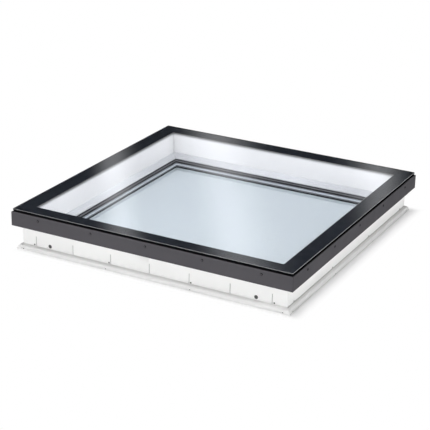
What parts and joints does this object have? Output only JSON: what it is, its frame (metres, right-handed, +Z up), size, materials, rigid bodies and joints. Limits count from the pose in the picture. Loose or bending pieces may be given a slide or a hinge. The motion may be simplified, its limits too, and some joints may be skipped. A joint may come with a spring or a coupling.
{
  "type": "roof skylight",
  "caption": "Fixed flat-roof skylight: white plastic kerb with sloped foot flange, insulated unit inside and a flat glass cover with black border on dark grey cladding.",
  "frame": {"origin": "middle of the kerb's underside", "axes": "+Z up, out of the roof; front side towards -Y; right side towards +X"},
  "size_m": [1.172, 1.172, 0.165],
  "materials": {
    "white_kerb": "satin white extruded plastic",
    "white_bead": "satin white extruded plastic",
    "foam_core": "light grey foam",
    "grey_rail": "plain grey extruded plastic",
    "grey_plastic": "moulded plastic",
    "dark_seal": "matt black rubber",
    "light_seal": "grey sealant",
    "spacer_grey": "dark grey spacer bar",
    "clear_glass": "clear float glass",
    "cover_glass": "clear toughened glass",
    "black_print": "black fired-on print under glass",
    "grey_cladding": "dark grey powder coat",
    "bare_aluminium": "mill finish",
    "dark_screw": "dark coated steel",
    "dark_plug": "dark moulded plastic"
  },
  "bodies": {
    "root": {"base_frame": "white_kerb", "insulation_front": "foam_core", "insulation_right": "foam_core", "insulation_back": "foam_core", "insulation_left": "foam_core", "glazing_tape": "dark_seal", "setting_blocks": "grey_plastic", "inner_pane": "clear_glass", "edge_seal": "dark_seal", "spacer_frame": "spacer_grey", "primary_seal": "light_seal", "outer_pane": "clear_glass", "glazing_gasket": "dark_seal", "bead_front": "white_bead", "bead_right": "white_bead", "bead_back": "white_bead", "bead_left": "white_bead", "cover_seal": "dark_seal", "rail_front": "grey_rail", "rail_right": "grey_rail", "rail_back": "grey_rail", "rail_left": "grey_rail", "corner_keys": "bare_aluminium", "cladding_front": "grey_cladding", "cladding_right": "grey_cladding", "cladding_back": "grey_cladding", "cladding_left": "grey_cladding", "cover_screws": "dark_screw", "glass_bond": "dark_seal", "border_print": "black_print", "cover_glass": "cover_glass", "blanking_plugs": "dark_plug"}
  },
  "joints": []
}
